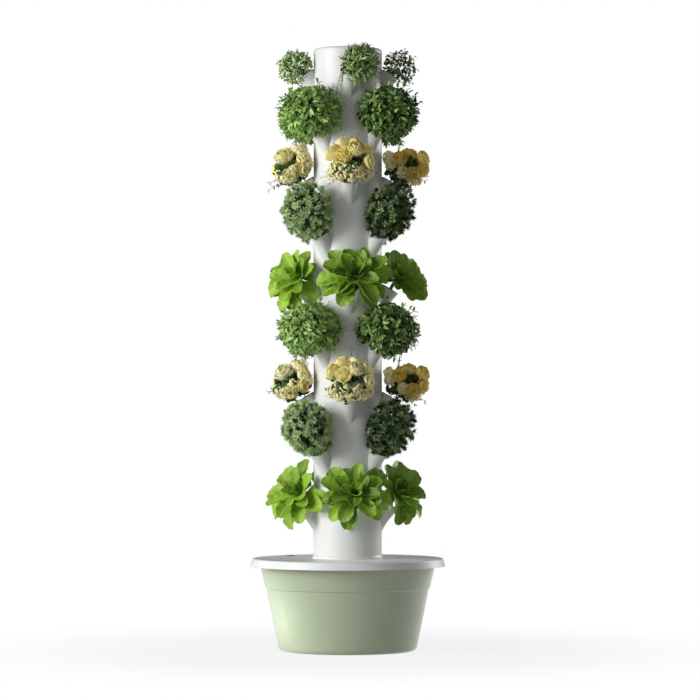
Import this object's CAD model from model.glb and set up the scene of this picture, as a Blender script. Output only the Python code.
"""Looks of a hydroponic tower: finishes on its moulded pieces, a crop in every port, and a studio.

Lengths are in metres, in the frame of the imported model: the front is -Y and +Z is up.
"""

import math

import bmesh
import bpy
import numpy as np
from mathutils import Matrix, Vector


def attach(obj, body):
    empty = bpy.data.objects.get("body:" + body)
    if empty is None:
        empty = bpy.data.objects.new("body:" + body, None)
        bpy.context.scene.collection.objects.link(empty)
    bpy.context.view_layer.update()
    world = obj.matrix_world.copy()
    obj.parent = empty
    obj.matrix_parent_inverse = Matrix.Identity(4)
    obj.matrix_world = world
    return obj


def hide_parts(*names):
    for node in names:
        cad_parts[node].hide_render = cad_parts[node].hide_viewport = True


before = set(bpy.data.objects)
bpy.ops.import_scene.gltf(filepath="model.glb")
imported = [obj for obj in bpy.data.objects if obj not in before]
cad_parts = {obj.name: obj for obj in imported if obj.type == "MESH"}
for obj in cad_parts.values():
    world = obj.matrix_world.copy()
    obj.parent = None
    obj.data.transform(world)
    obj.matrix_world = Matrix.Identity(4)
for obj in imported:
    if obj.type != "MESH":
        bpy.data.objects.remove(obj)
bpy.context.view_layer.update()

bl_info = {
    "name": "Hydroponic tower",
    "version": (1, 0, 0),
    "blender": (4, 5, 0),
    "location": "View3D > Sidebar > Tower",
    "description": "Finishes, crops and studio of a hydroponic tower",
    "category": "Object",
}

ODD_PORTS = (("front", 0), ("right", 90), ("back", 180), ("left", 270))
EVEN_PORTS = (("front_right", 45), ("back_right", 135), ("back_left", 225), ("front_left", 315))
TIERS = range(1, 10)
UP = np.array((0.0, 0.0, 1.0))
# Middle of a port's mouth, in the port's own frame
MOUTH = np.zeros(3)
# Added to the tone of a plant's leaves: on the sunny left there are more young pale ones, on the right
# more old dark ones
SUNNY = {"left": 0.2, "front_left": 0.2, "back_left": 0.1, "front": 0.0, "back": 0.0,
         "right": -0.3, "front_right": -0.32, "back_right": -0.1}
# Outer and inner leaves of a dense plant: depths between which they start, as shares of its radii, and
# their tone
LEAF_LAYERS = (((0.78, 0.96), 0.55), ((0.42, 0.70), 0.12))
# Turn from one leaf to the next in a spiral that never lines up
GOLDEN_TURN = math.pi * (3 - math.sqrt(5))
# Least length and least bend that are divided by
LEAST_LENGTH = 1e-9
LEAST_BEND = 1e-3
# Sockets of a Mix node for colours: the share of the second, the two colours, and what comes out
SHARE, FIRST, SECOND, MIXED = 0, 6, 7, 2


def linear(colour):
    """Turns an sRGB hex value into linear red, green, blue and alpha."""
    parts = [int(colour[i:i + 2], 16) / 255 for i in (1, 3, 5)]
    return (*(p / 12.92 if p <= 0.04045 else ((p + 0.055) / 1.055) ** 2.4 for p in parts), 1.0)


def colour_prop(name, description, default):
    """A colour that the user can change, given as an sRGB hex value."""
    return bpy.props.FloatVectorProperty(
        name=name, description=description, size=4, subtype="COLOR", min=0, max=1,
        default=linear(default))


def length_prop(name, description, default):
    """A length in metres that the user can change."""
    return bpy.props.FloatProperty(
        name=name, description=description, default=default, min=0, unit="LENGTH")


def count_prop(name, description, default):
    """A number of copies that the user can change."""
    return bpy.props.IntProperty(name=name, description=description, default=default, min=1)


def angle_prop(name, description, degrees):
    """An angle that the user can change."""
    return bpy.props.FloatProperty(
        name=name, description=description, default=math.radians(degrees), subtype="ANGLE")


def power_prop(name, description, default):
    """A lamp's power in watts that the user can change."""
    return bpy.props.FloatProperty(name=name, description=description, default=default, unit="POWER")


class TowerPlaces(bpy.types.PropertyGroup):
    """Where the planting ports are."""

    first_mouth: length_prop("First mouth", "Height of the lowest tier's mouths", 0.372)
    tier_pitch: length_prop("Tier pitch", "Height of one planting section", 0.138)
    mouth_reach: length_prop("Mouth reach", "Distance of a mouth's middle from the axis", 0.1078)
    column_radius: length_prop("Column radius", "Outer radius of the column", 0.0875)
    port_radius: length_prop("Port radius", "Outer radius of a port at its mouth", 0.0235)
    port_tilt: angle_prop("Port tilt", "Tilt of a port from the vertical", 32)
    heading: angle_prop("Heading", "Turn of the front ports from the front", 2.5)
    leaf_gap: length_prop("Leaf gap", "Least gap between leaves and the column", 0.002)


class ShellFinish(bpy.types.PropertyGroup):
    """Colours of the moulded and bought-in pieces."""

    white: colour_prop("White", "Tower, lid and cap", "#F1F1EF")
    white_shade: colour_prop("White shade", "Slow variation in the white", "#E6E8E7")
    sage: colour_prop("Sage", "Reservoir basin", "#B2BFA0")
    sage_shade: colour_prop("Sage shade", "Slow variation in the sage", "#A8B596")
    black: colour_prop("Black", "Net cups and pump", "#1D1F20")
    fibre: colour_prop("Fibre", "Coir strands of the grow plugs", "#7A5636")
    fibre_dark: colour_prop("Fibre dark", "Gaps between the coir strands", "#3A2717")


class LettuceLook(bpy.types.PropertyGroup):
    """Sizes and colours of a lettuce."""

    leaf_length: length_prop("Leaf length", "Length of an outer leaf", 0.093)
    leaf_width: length_prop("Leaf width", "Width of an outer leaf", 0.047)
    lean: angle_prop("Lean", "Tilt of the rosette's axis from the vertical", 60)
    heart_out: length_prop("Heart out", "How far the heart stands out from the mouth", 0.016)
    heart_up: length_prop("Heart up", "How far the heart stands up from the mouth", 0.026)
    blade: colour_prop("Blade", "Full-grown leaf", "#4F7A0C")
    young: colour_prop("Young blade", "Lighter leaf", "#9AC438")
    rib: colour_prop("Rib", "Midrib and veins", "#ABC866")


class DomeLook(bpy.types.PropertyGroup):
    """Sizes and colours of a fine-leaved dome."""

    half_length: length_prop("Half length", "Half the length of the egg that it fills", 0.072)
    half_width: length_prop("Half width", "Half the width of that egg", 0.059)
    middle_out: length_prop("Middle out", "How far its middle stands out from the mouth", 0.039)
    middle_up: length_prop("Middle up", "How far its middle stands up from the mouth", 0.060)
    neck_reach: length_prop("Neck reach", "Radius of its narrower foot", 0.038)
    neck_out: length_prop("Neck out", "How far the foot's middle stands out from the mouth", 0.015)
    neck_up: length_prop("Neck up", "How far the foot's middle stands up from the mouth", 0.022)
    needle_length: length_prop("Needle length", "Length of one narrow leaf", 0.0125)
    tufts: count_prop("Tufts", "Number of tufts over a dome", 170)
    needles: count_prop("Needles", "Narrow leaves in one tuft", 34)
    needle: colour_prop("Needle", "Shaded leaf", "#264419")
    tip: colour_prop("Tip", "Bloomed grey-green of the young tips", "#C6DFA2")


class PosyLook(bpy.types.PropertyGroup):
    """Sizes and colours of a flower posy."""

    bloom_radius: length_prop("Bloom radius", "Radius of a full bloom", 0.0225)
    reach: length_prop("Reach", "Radius of the leaves below the blooms", 0.052)
    middle_out: length_prop("Middle out", "How far its middle stands out from the mouth", 0.036)
    middle_up: length_prop("Middle up", "How far its middle stands up from the mouth", 0.034)
    petals: count_prop("Petals", "Petals of one bloom", 28)
    floret_radius: length_prop("Floret radius", "Radius of a filler flower", 0.0041)
    florets: count_prop("Florets", "Filler flowers in a posy", 600)
    leaves: count_prop("Leaves", "Leaves in each layer between the blooms", 90)
    leaf_length: length_prop("Leaf length", "Length of a leaf between the blooms", 0.027)
    cream: colour_prop("Cream", "Palest petals", "#FFFAD2")
    butter: colour_prop("Butter", "Pale yellow petals", "#FFF3A8")
    peach: colour_prop("Peach", "Peach petals", "#FFE482")
    amber: colour_prop("Amber", "Deepest petals", "#FFD25C")
    floret: colour_prop("Floret", "Filler flowers", "#FBF2BC")
    floret_eye: colour_prop("Floret eye", "Middle of a filler flower", "#B7A64A")
    leaf: colour_prop("Leaf", "Leaves between the blooms", "#2F4A23")


class BushLook(bpy.types.PropertyGroup):
    """Sizes and colours of a leafy herb bush."""

    reach: length_prop("Reach", "Half the width of the bush, to the feet of its leaves", 0.072)
    half_height: length_prop("Half height", "Half the height of the bush, likewise", 0.064)
    middle_out: length_prop("Middle out", "How far its middle stands out from the mouth", 0.030)
    middle_up: length_prop("Middle up", "How far its middle stands up from the mouth", 0.038)
    leaf_length: length_prop("Leaf length", "Length of one leaf", 0.023)
    leaves: count_prop("Leaves", "Leaves over the surface of a bush", 900)
    sprigs: count_prop("Sprigs", "Sprigs that stand out of a bush", 34)
    shade_leaf: colour_prop("Shade leaf", "Older leaf", "#2F4F17")
    sun_leaf: colour_prop("Sun leaf", "Young leaf", "#B4DA7C")


class HerbLook(bpy.types.PropertyGroup):
    """Sizes and colours of the small herbs in the top tier."""

    reach: length_prop("Reach", "Radius of the airy herb, to the feet of its leaves", 0.039)
    middle_out: length_prop("Middle out", "How far its middle stands out from the mouth", 0.025)
    middle_up: length_prop("Middle up", "How far its middle stands up from the mouth", 0.026)
    round_leaf: length_prop("Round leaf", "Length of a leaf of the airy herb", 0.0115)
    long_leaf: length_prop("Long leaf", "Length of a leaf of the dense herb", 0.026)
    leaves: count_prop("Leaves", "Leaves over the surface of a herb", 420)
    sprigs: count_prop("Sprigs", "Sprigs that stand out of a herb", 26)
    shade_leaf: colour_prop("Shade leaf", "Older leaf", "#304C20")
    sun_leaf: colour_prop("Sun leaf", "Young leaf", "#C2DE90")


class StudioLook(bpy.types.PropertyGroup):
    """Camera, lamps and floor."""

    distance: length_prop("Distance", "Distance of the camera from the tower's axis", 8.0)
    eye_height: length_prop("Eye height", "Height of the camera", 0.60)
    aim_height: length_prop("Aim height", "Height that the camera looks at", 0.769)
    aim_side: length_prop("Aim side", "How far right of the axis the camera looks", 0.0058)
    frame_height: length_prop("Frame height", "Height of the picture at the axis", 1.795)
    key_power: power_prop("Key power", "Lamp to the left of the tower", 122)
    front_power: power_prop("Front power", "Weak lamp beside the camera", 6)
    rim_power: power_prop("Rim power", "Lamp behind and right", 56)
    edge_power: power_prop("Edge power", "Lamp behind and left", 8)
    low_power: power_prop("Low power", "Lamp at the basin's height, on the left", 0.08)
    sky: bpy.props.FloatProperty(
        name="Sky", description="Strength of the light from all round", default=0.10, min=0)


def add_node(tree, kind, inputs=None, stops=None, **settings):
    """Adds a shader node with its settings; an input takes a value or another node's output."""
    added = tree.nodes.new(kind)
    for name, value in settings.items():
        setattr(added, name, value)
    for name, value in (inputs or {}).items():
        if isinstance(value, bpy.types.NodeSocket):
            tree.links.new(value, added.inputs[name])
        else:
            added.inputs[name].default_value = value
    for place, (position, colour) in enumerate(stops or ()):
        elements = added.color_ramp.elements
        element = elements[place] if place < 2 else elements.new(position)
        element.position, element.color = position, colour
    return added


def start_material(name, roughness, ior=1.46):
    """A new material with the Principled shader that the finish is built on."""
    material = bpy.data.materials.new(name)
    material.use_nodes = True
    shader = material.node_tree.nodes["Principled BSDF"]
    shader.inputs["Roughness"].default_value = roughness
    shader.inputs["IOR"].default_value = ior
    return material, material.node_tree, shader


def moulded_plastic(name, colour, shade, roughness, grain, depth, gloss=0.0):
    """Injection-moulded plastic: slow drift of the colour, and the grain of a spark-eroded mould, which
    breaks up the highlight. A real grain is too fine to show, so it is drawn coarser, at the size and
    depth that are given in metres. Gloss is the share of a polished skin over it. The rubber and
    ceramic pieces take it too, with values of their own."""
    drift_width = 0.09
    smoother, rougher = 0.06, 0.08
    material, tree, shader = start_material(name, roughness, ior=1.49)
    shader.inputs["Coat Weight"].default_value = gloss
    shader.inputs["Coat Roughness"].default_value = 0.2
    place = add_node(tree, "ShaderNodeTexCoord").outputs["Object"]
    drift = add_node(tree, "ShaderNodeTexNoise", {"Vector": place, "Scale": 1 / drift_width, "Detail": 3.0})
    mixed = add_node(tree, "ShaderNodeMix", {SHARE: drift.outputs["Fac"], FIRST: colour, SECOND: shade},
                     data_type="RGBA")
    tree.links.new(mixed.outputs[MIXED], shader.inputs["Base Color"])
    pits = add_node(tree, "ShaderNodeTexNoise", {"Vector": place, "Scale": 1 / grain, "Detail": 2.0})
    rough = add_node(tree, "ShaderNodeMapRange",
                     {"Value": pits.outputs["Fac"], "To Min": roughness - smoother,
                      "To Max": roughness + rougher})
    tree.links.new(rough.outputs["Result"], shader.inputs["Roughness"])
    bump = add_node(tree, "ShaderNodeBump",
                    {"Height": pits.outputs["Fac"], "Distance": depth, "Strength": 0.5})
    tree.links.new(bump.outputs["Normal"], shader.inputs["Normal"])
    return material


def coir_fibre(look):
    """Pressed coir: matted brown strands, four times as long as wide, dull all over. They are drawn
    about 2 mm wide, coarser than real ones, so that they show."""
    strand_width, strand_squeeze = 0.0024, 0.25
    material, tree, shader = start_material("coir_fibre", roughness=0.92)
    place = add_node(tree, "ShaderNodeTexCoord").outputs["Object"]
    stretched = add_node(tree, "ShaderNodeMapping", {"Vector": place, "Scale": (1.0, 1.0, strand_squeeze)})
    strands = add_node(tree, "ShaderNodeTexNoise",
                       {"Vector": stretched.outputs["Vector"], "Scale": 1 / strand_width, "Detail": 6.0,
                        "Roughness": 0.7})
    ramp = add_node(tree, "ShaderNodeValToRGB", {"Fac": strands.outputs["Fac"]},
                    stops=((0.35, look.fibre_dark), (0.65, look.fibre)))
    tree.links.new(ramp.outputs["Color"], shader.inputs["Base Color"])
    bump = add_node(tree, "ShaderNodeBump",
                    {"Height": strands.outputs["Fac"], "Distance": 0.0012, "Strength": 0.9})
    tree.links.new(bump.outputs["Normal"], shader.inputs["Normal"])
    return material


def drawn_steel():
    """Drawn stainless pin: grey metal with scratches along its length. They are drawn 0.4 mm wide,
    coarser than real ones, so that they show."""
    scratch_width, scratch_squeeze = 0.0004, 0.02
    material, tree, shader = start_material("drawn_steel", roughness=0.3, ior=1.5)
    shader.inputs["Metallic"].default_value = 1.0
    shader.inputs["Base Color"].default_value = linear("#B9BBBD")
    place = add_node(tree, "ShaderNodeTexCoord").outputs["Object"]
    drawn = add_node(tree, "ShaderNodeMapping", {"Vector": place, "Scale": (scratch_squeeze, 1.0, 1.0)})
    lines = add_node(tree, "ShaderNodeTexNoise",
                     {"Vector": drawn.outputs["Vector"], "Scale": 1 / scratch_width, "Detail": 2.0})
    rough = add_node(tree, "ShaderNodeMapRange",
                     {"Value": lines.outputs["Fac"], "To Min": 0.22, "To Max": 0.45})
    tree.links.new(rough.outputs["Result"], shader.inputs["Roughness"])
    return material


def leaf_tissue(name, shade_colour, sun_colour, roughness, tip_colour=None):
    """Small leaves: each leaf has its own green between the two, a paler tip where one is given,
    and the soft gloss of a waxy skin. Mottling is about 3 mm wide."""
    mottle_width = 0.003
    material, tree, shader = start_material(name, roughness, ior=1.42)
    shader.inputs["Specular IOR Level"].default_value = 0.35
    own = add_node(tree, "ShaderNodeAttribute", attribute_name="shade").outputs["Fac"]
    place = add_node(tree, "ShaderNodeTexCoord").outputs["Object"]
    mottle = add_node(tree, "ShaderNodeTexNoise",
                      {"Vector": place, "Scale": 1 / mottle_width, "Detail": 2.0})
    greens = add_node(tree, "ShaderNodeMix", {SHARE: own, FIRST: shade_colour, SECOND: sun_colour},
                      data_type="RGBA").outputs[MIXED]
    colour = add_node(tree, "ShaderNodeMix",
                      {SHARE: 0.35, FIRST: greens, SECOND: mottle.outputs["Color"]},
                      data_type="RGBA", blend_type="SOFT_LIGHT").outputs[MIXED]
    if tip_colour is not None:
        along = add_node(tree, "ShaderNodeAttribute", attribute_name="along").outputs["Fac"]
        tips = add_node(tree, "ShaderNodeMapRange",
                        {"Value": along, "From Min": 0.3, "From Max": 1.0, "To Max": 0.85})
        young = add_node(tree, "ShaderNodeMath", {0: tips.outputs["Result"], 1: own},
                         operation="MULTIPLY").outputs[0]
        colour = add_node(tree, "ShaderNodeMix", {SHARE: young, FIRST: colour, SECOND: tip_colour},
                          data_type="RGBA").outputs[MIXED]
    tree.links.new(colour, shader.inputs["Base Color"])
    bump = add_node(tree, "ShaderNodeBump",
                    {"Height": mottle.outputs["Fac"], "Distance": 0.0004, "Strength": 0.4})
    tree.links.new(bump.outputs["Normal"], shader.inputs["Normal"])
    return material


def lettuce_tissue(look):
    """Lettuce leaf: bright, thin and slightly blistered, with a pale midrib and side veins about
    7 mm apart, and a lighter edge."""
    blister_width = 0.006
    # How far a side vein slants back from the midrib, and radians of the veins' waves along a leaf
    vein_slant, vein_waves = -0.22, 80.0
    material, tree, shader = start_material("lettuce_tissue", roughness=0.38, ior=1.42)
    shader.inputs["Specular IOR Level"].default_value = 0.4
    own = add_node(tree, "ShaderNodeAttribute", attribute_name="shade").outputs["Fac"]
    along = add_node(tree, "ShaderNodeAttribute", attribute_name="along").outputs["Fac"]
    across = add_node(tree, "ShaderNodeAttribute", attribute_name="across").outputs["Fac"]
    place = add_node(tree, "ShaderNodeTexCoord").outputs["Object"]
    aside = add_node(tree, "ShaderNodeMath", {0: across}, operation="ABSOLUTE").outputs[0]
    greens = add_node(tree, "ShaderNodeMix", {SHARE: own, FIRST: look.blade, SECOND: look.young},
                      data_type="RGBA").outputs[MIXED]
    edge = add_node(tree, "ShaderNodeMapRange",
                    {"Value": aside, "From Min": 0.6, "From Max": 1.0, "To Max": 0.55})
    greens = add_node(tree, "ShaderNodeMix",
                      {SHARE: edge.outputs["Result"], FIRST: greens, SECOND: look.young},
                      data_type="RGBA").outputs[MIXED]
    rib_half = add_node(tree, "ShaderNodeMapRange",
                        {"Value": along, "To Min": 0.16, "To Max": 0.02}).outputs["Result"]
    on_rib = add_node(tree, "ShaderNodeMath", {0: aside, 1: rib_half}, operation="LESS_THAN")
    slant = add_node(tree, "ShaderNodeMath", {0: aside, 1: vein_slant, 2: along},
                     operation="MULTIPLY_ADD")
    waves = add_node(tree, "ShaderNodeMath", {0: slant.outputs[0], 1: vein_waves}, operation="MULTIPLY")
    waves = add_node(tree, "ShaderNodeMath", {0: waves.outputs[0]}, operation="SINE").outputs[0]
    veins = add_node(tree, "ShaderNodeMapRange",
                     {"Value": waves, "From Min": 0.82, "From Max": 1.0, "To Max": 0.5})
    pale = add_node(tree, "ShaderNodeMath", {0: on_rib.outputs[0], 1: veins.outputs["Result"]},
                    operation="MAXIMUM").outputs[0]
    greens = add_node(tree, "ShaderNodeMix", {SHARE: pale, FIRST: greens, SECOND: look.rib},
                      data_type="RGBA").outputs[MIXED]
    tree.links.new(greens, shader.inputs["Base Color"])
    blisters = add_node(tree, "ShaderNodeTexNoise",
                        {"Vector": place, "Scale": 1 / blister_width, "Detail": 3.0})
    height = add_node(tree, "ShaderNodeMath",
                      {0: blisters.outputs["Fac"], 1: veins.outputs["Result"]},
                      operation="SUBTRACT").outputs[0]
    bump = add_node(tree, "ShaderNodeBump", {"Height": height, "Distance": 0.0012, "Strength": 0.5})
    tree.links.new(bump.outputs["Normal"], shader.inputs["Normal"])
    return material


def petal_tissue(look):
    """Rose petals: velvet-soft and so thin that light goes through, with a deeper foot and fine veins
    about 2 mm apart."""
    vein_width = 0.002
    material, tree, shader = start_material("petal_tissue", roughness=0.6, ior=1.4)
    shader.inputs["Sheen Weight"].default_value = 0.15
    shader.inputs["Subsurface Weight"].default_value = 0.35
    shader.inputs["Subsurface Radius"].default_value = (1.0, 0.8, 0.3)
    shader.inputs["Subsurface Scale"].default_value = 0.0015
    own = add_node(tree, "ShaderNodeAttribute", attribute_name="shade").outputs["Fac"]
    along = add_node(tree, "ShaderNodeAttribute", attribute_name="along").outputs["Fac"]
    place = add_node(tree, "ShaderNodeTexCoord").outputs["Object"]
    hue = add_node(tree, "ShaderNodeValToRGB", {"Fac": own},
                   stops=((0.0, look.cream), (1.0, look.amber), (0.35, look.butter), (0.7, look.peach)))
    foot = add_node(tree, "ShaderNodeMapRange",
                    {"Value": along, "From Min": 0.2, "From Max": 0.7, "To Min": 0.35, "To Max": 0.0})
    deep = add_node(tree, "ShaderNodeMix",
                    {SHARE: foot.outputs["Result"], FIRST: hue.outputs["Color"], SECOND: look.amber},
                    data_type="RGBA").outputs[MIXED]
    tree.links.new(deep, shader.inputs["Base Color"])
    veins = add_node(tree, "ShaderNodeTexNoise", {"Vector": place, "Scale": 1 / vein_width, "Detail": 2.0})
    bump = add_node(tree, "ShaderNodeBump",
                    {"Height": veins.outputs["Fac"], "Distance": 0.0004, "Strength": 0.4})
    tree.links.new(bump.outputs["Normal"], shader.inputs["Normal"])
    return material


def floret_tissue(look):
    """Filler flowers: five cream lobes round a small green-yellow eye."""
    material, tree, shader = start_material("floret_tissue", roughness=0.6, ior=1.4)
    along = add_node(tree, "ShaderNodeAttribute", attribute_name="along").outputs["Fac"]
    own = add_node(tree, "ShaderNodeAttribute", attribute_name="shade").outputs["Fac"]
    lobes = add_node(tree, "ShaderNodeMix", {SHARE: own, FIRST: look.floret, SECOND: look.butter},
                     data_type="RGBA").outputs[MIXED]
    ramp = add_node(tree, "ShaderNodeMapRange", {"Value": along, "From Min": 0.1, "From Max": 0.4})
    colour = add_node(tree, "ShaderNodeMix",
                      {SHARE: ramp.outputs["Result"], FIRST: look.floret_eye, SECOND: lobes},
                      data_type="RGBA").outputs[MIXED]
    tree.links.new(colour, shader.inputs["Base Color"])
    return material


def open_primitive(add, **settings):
    """Adds a primitive with nothing else selected, puts its place and turn into its mesh, and
    opens it in edit mode."""
    bpy.ops.object.select_all(action="DESELECT")
    add(**settings)
    bpy.ops.object.transform_apply(location=True, rotation=True, scale=True)
    bpy.ops.object.mode_set(mode="EDIT")
    return bpy.context.object


def pick(piece, test):
    """Selects the vertices of the open piece whose place passes the test."""
    mesh = bmesh.from_edit_mesh(piece.data)
    for vert in mesh.verts:
        vert.select_set(bool(test(vert.co)))
    mesh.select_flush_mode()
    bmesh.update_edit_mesh(piece.data)


def finish(piece, thickness=0.0, levels=0):
    """Closes the piece, merges its doubles and applies its modifiers."""
    bpy.ops.mesh.select_all(action="SELECT")
    bpy.ops.mesh.remove_doubles(threshold=1e-6)
    bpy.ops.mesh.normals_make_consistent(inside=False)
    bpy.ops.object.mode_set(mode="OBJECT")
    if levels:
        smooth = piece.modifiers.new("Smooth", "SUBSURF")
        smooth.levels = smooth.render_levels = levels
        bpy.ops.object.modifier_apply(modifier=smooth.name)
    if thickness:
        wall = piece.modifiers.new("Wall", "SOLIDIFY")
        wall.thickness, wall.offset = thickness, 0
        bpy.ops.object.modifier_apply(modifier=wall.name)
    return piece


def model_blade(length, width, outline, fold, droop, thickness, columns=2, ruffle=0.0, levels=0):
    """A leaf or petal along +Y with its foot at the origin and its upper face towards +Z.
    The outline gives its width row by row, from foot to tip, as a share of the full width."""
    fold_curve = 1.6
    rows = len(outline) - 1
    step = length / rows
    near_column, near_row = width / columns / 4, step / 4
    blade = open_primitive(bpy.ops.mesh.primitive_grid_add, x_subdivisions=columns,
                           y_subdivisions=rows, size=1)
    bpy.ops.transform.resize(value=(width, length, 1), center_override=(0, 0, 0))
    bpy.ops.transform.translate(value=(0, length / 2, 0))
    for column in range(columns + 1):
        aside = abs(2 * column / columns - 1)
        place = width * (column / columns - 0.5)
        pick(blade, lambda co: abs(co.x - place) < near_column)
        bpy.ops.transform.translate(value=(0, 0, fold * aside ** fold_curve))
        for row in range(1, rows) if ruffle and aside == 1 else ():
            pick(blade, lambda co: abs(co.x - place) < near_column and abs(co.y - row * step) < near_row)
            bpy.ops.transform.translate(value=(0, 0, ruffle * (-1) ** (row + column)))
    for row, share in enumerate(outline):
        pick(blade, lambda co: abs(co.y - row * step) < near_row)
        bpy.ops.transform.resize(value=(share, 1, share), center_override=(0, row * step, 0))
        bpy.ops.transform.translate(value=(0, 0, -droop * (row / rows) ** 2))
    return finish(blade, thickness, levels)


def model_needle(length, width):
    """A narrow leaf along +Y: a three-sided cone, with its foot drawn out to a point."""
    foot = length * 0.3
    needle = open_primitive(bpy.ops.mesh.primitive_cone_add, vertices=3, radius1=width / 2, radius2=0,
                            depth=length - foot, rotation=(-math.pi / 2, 0, 0),
                            location=(0, (length + foot) / 2, 0))
    pick(needle, lambda co: co.y < length / 2)
    bpy.ops.mesh.extrude_region_move(TRANSFORM_OT_translate={"value": (0, -foot, 0)})
    bpy.ops.transform.resize(value=(0, 1, 0))
    return finish(needle)


def model_twig(width):
    """A piece of stem along +Y, one metre long so that a copy's scale is its length."""
    taper = 0.85
    twig = open_primitive(bpy.ops.mesh.primitive_cylinder_add, vertices=5, radius=width / 2, depth=1,
                          rotation=(-math.pi / 2, 0, 0), location=(0, 0.5, 0))
    pick(twig, lambda co: co.y > 0.5)
    bpy.ops.transform.resize(value=(taper, 1, taper))
    return finish(twig)


def model_floret(radius):
    """A five-lobed filler flower that faces +Z."""
    lobes = 5
    notch, cone, thickness = 0.68, radius * 0.35, radius * 0.12
    floret = open_primitive(bpy.ops.mesh.primitive_circle_add, vertices=2 * lobes, radius=radius,
                            fill_type="TRIFAN")
    pick(floret, lambda co: co.length > radius / 2 and
         math.cos(lobes * math.atan2(co.x, co.y)) < 0)
    bpy.ops.transform.resize(value=(notch, notch, 1), center_override=(0, 0, 0))
    pick(floret, lambda co: co.length < radius / 4)
    bpy.ops.transform.translate(value=(0, 0, cone))
    return finish(floret, thickness)


class Shape:
    """The mesh of a modelled piece, taken as arrays to be copied from."""

    def __init__(self, piece, round_it=False):
        mesh = piece.data
        self.points = np.zeros(len(mesh.vertices) * 3)
        mesh.vertices.foreach_get("co", self.points)
        self.points = self.points.reshape(-1, 3)
        self.sizes = np.zeros(len(mesh.polygons), int)
        mesh.polygons.foreach_get("loop_total", self.sizes)
        self.corners = np.zeros(len(mesh.loops), int)
        mesh.loops.foreach_get("vertex_index", self.corners)
        reach = np.abs(self.points).max(axis=0) + LEAST_LENGTH
        self.across = self.points[:, 0] / reach[0]
        self.along = self.points[:, 1] / reach[1]
        if round_it:
            self.along = np.hypot(self.points[:, 0], self.points[:, 1]) / reach[0]
        bpy.data.objects.remove(piece)


class Crop:
    """Copies of modelled shapes, gathered into the mesh of one plant."""

    def __init__(self):
        self.parts = []

    def add(self, shape, places, shade, slot=0, bends=None, clear=None):
        """Adds a copy for each 4x4 matrix, and tells which ones were kept. A bend, in radians over a
        shape that is one metre long, curls a copy back. Copies that reach into what clear() rules out
        are left off."""
        points = np.repeat(shape.points[None], len(places), axis=0)
        if bends is not None:
            turn = np.where(np.abs(bends) < LEAST_BEND, LEAST_BEND, bends)[:, None]
            along, above = points[..., 1].copy(), points[..., 2].copy()
            points[..., 1] = np.sin(turn * along) / turn + above * np.sin(turn * along)
            points[..., 2] = (np.cos(turn * along) - 1) / turn + above * np.cos(turn * along)
        points = points @ np.swapaxes(places[:, :3, :3], 1, 2) + places[:, None, :3, 3]
        kept = np.full(len(points), True) if clear is None else clear(points).all(axis=1)
        self.parts.append((shape, points[kept], np.asarray(shade, float)[kept], slot))
        return kept

    def make(self, name, port, materials, angle=50):
        """The plant as an object, at the port whose 4x4 matrix is given."""
        points, sizes, corners, slots, shades, acrosses, alongs = [], [], [], [], [], [], []
        first = 0
        for shape, placed, shade, slot in self.parts:
            count, verts = placed.shape[:2]
            points.append(placed.reshape(-1, 3))
            sizes.append(np.tile(shape.sizes, count))
            corners.append((shape.corners[None] + first + verts * np.arange(count)[:, None]).ravel())
            slots.append(np.full(count * len(shape.sizes), slot))
            shades.append(np.repeat(shade, verts))
            acrosses.append(np.tile(shape.across, count))
            alongs.append(np.tile(shape.along, count))
            first += count * verts
        points = np.concatenate(points) @ port[:3, :3].T + port[:3, 3]
        sizes, corners = np.concatenate(sizes), np.concatenate(corners)
        mesh = bpy.data.meshes.new(name)
        mesh.vertices.add(len(points))
        mesh.vertices.foreach_set("co", points.ravel())
        mesh.loops.add(len(corners))
        mesh.loops.foreach_set("vertex_index", corners)
        mesh.polygons.add(len(sizes))
        mesh.polygons.foreach_set("loop_start", np.concatenate(([0], np.cumsum(sizes)[:-1])))
        mesh.polygons.foreach_set("material_index", np.concatenate(slots))
        for attribute, values in (("shade", shades), ("across", acrosses), ("along", alongs)):
            layer = mesh.attributes.new(attribute, "FLOAT", "POINT")
            layer.data.foreach_set("value", np.concatenate(values))
        mesh.update(calc_edges=True)
        for material in materials:
            mesh.materials.append(material)
        plant = bpy.data.objects.new(name, mesh)
        bpy.context.collection.objects.link(plant)
        bpy.ops.object.select_all(action="DESELECT")
        plant.select_set(True)
        bpy.context.view_layer.objects.active = plant
        bpy.ops.object.shade_smooth_by_angle(angle=math.radians(angle))
        return plant


def unit(vectors):
    """The vectors at length one."""
    return vectors / np.maximum(np.linalg.norm(vectors, axis=-1, keepdims=True), LEAST_LENGTH)


def place_copies(at, along, facing, scale):
    """Matrices that put a copy's foot at a point, its length along one way and its upper face as
    near as can be to another way."""
    at, along, facing = np.broadcast_arrays(*(np.atleast_2d(np.asarray(a, float))
                                              for a in (at, along, facing)))
    y = unit(along)
    x = unit(np.cross(y, facing))
    z = np.cross(x, y)
    if np.ndim(scale) == 1:
        scale = np.repeat(scale[:, None], 3, axis=1)
    places = np.zeros((len(at), 4, 4))
    for column, (axis, share) in enumerate(zip((x, y, z), scale.T)):
        places[:, :3, column] = axis * share[:, None]
    places[:, :3, 3] = at
    places[:, 3, 3] = 1
    return places


def place_twigs(path):
    """Matrices that lay one twig along each step of a path, a little into the next."""
    overlap = 1.04
    facing = np.array((0.3, 0.5, 0.8))
    steps = path[1:] - path[:-1]
    lengths = np.linalg.norm(steps, axis=1)
    scale = np.stack((np.ones_like(lengths), lengths * overlap, np.ones_like(lengths)), axis=1)
    return place_copies(path[:-1], steps, facing, scale)


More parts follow.
